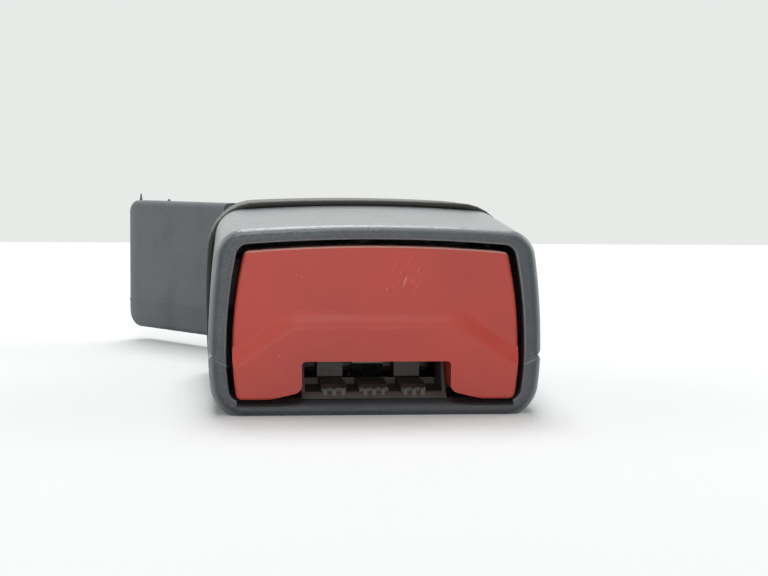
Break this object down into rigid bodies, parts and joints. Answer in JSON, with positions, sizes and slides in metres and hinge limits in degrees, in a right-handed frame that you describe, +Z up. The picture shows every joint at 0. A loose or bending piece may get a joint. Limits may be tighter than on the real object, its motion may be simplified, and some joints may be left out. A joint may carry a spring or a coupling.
{
  "type": "seat belt buckle",
  "caption": "Front-release seat belt buckle with a press button, tongue slot, sprung latch and ejector, soft boot and a bent steel stalk with an anchor bolt hole.",
  "frame": {"origin": "on the head's flat underside, on its centre plane, halfway along the casing", "axes": "+Y from the tongue's mouth towards the stalk, +Z up away from the flat underside, +X to the right seen from the mouth"},
  "size_m": [0.0818, 0.1331, 0.038],
  "materials": {
    "cover_plastic": "fine-grained moulded ABS",
    "button_plastic": "satin moulded ABS",
    "inner_plastic": "plain moulded acetal",
    "frame_steel": "zinc-plated pressed steel",
    "latch_steel": "hardened pressed steel",
    "pin_steel": "zinc-plated steel",
    "spring_steel": "drawn spring wire",
    "stalk_steel": "black coated steel strap",
    "sheath_vinyl": "matte soft vinyl",
    "boot_vinyl": "matte soft moulded vinyl"
  },
  "bodies": {
    "head": {"upper_cover": "cover_plastic", "lower_cover": "cover_plastic", "tongue_guide": "inner_plastic", "frame": "frame_steel", "latch_pivot_pin": "pin_steel", "latch_pin_clip": "spring_steel", "latch_spring": "spring_steel", "spring_seat": "inner_plastic", "ejector_spring_left": "spring_steel", "ejector_spring_right": "spring_steel", "button_spring_left": "spring_steel", "button_spring_right": "spring_steel", "stalk_strap": "stalk_steel", "cross_rivet": "pin_steel", "rivet_washers": "pin_steel", "rivet_spacer_left": "pin_steel", "rivet_spacer_right": "pin_steel", "strap_sheath": "sheath_vinyl", "boot": "boot_vinyl"},
    "button": {"press_button": "button_plastic"},
    "latch": {"latch": "latch_steel"},
    "ejector": {"ejector": "inner_plastic"}
  },
  "joints": [
    {"name": "button_slide", "type": "slide", "parent": "head", "child": "button", "axis": [0, 1, 0], "range_m": [0, 0.006], "stiffness_N_per_m": 300, "springref_m": -0.02, "deforming": ["button_spring_left", "button_spring_right"]},
    {"name": "latch_pivot", "type": "hinge", "parent": "head", "child": "latch", "pos_m": [0, 0.009, 0.0145], "axis": [-1, 0, 0], "range_deg": [0, 15.01], "stiffness_Nm_per_rad": 0.05, "springref_deg": -11.46, "deforming": ["latch_spring"]},
    {"name": "ejector_slide", "type": "slide", "parent": "head", "child": "ejector", "axis": [0, 1, 0], "range_m": [0, 0.012], "stiffness_N_per_m": 200, "springref_m": -0.015, "deforming": ["ejector_spring_left", "ejector_spring_right"]}
  ],
  "couplings": [
    {"joint": "latch_pivot", "follows": "button_slide", "rad_per_m": 43.633}
  ]
}
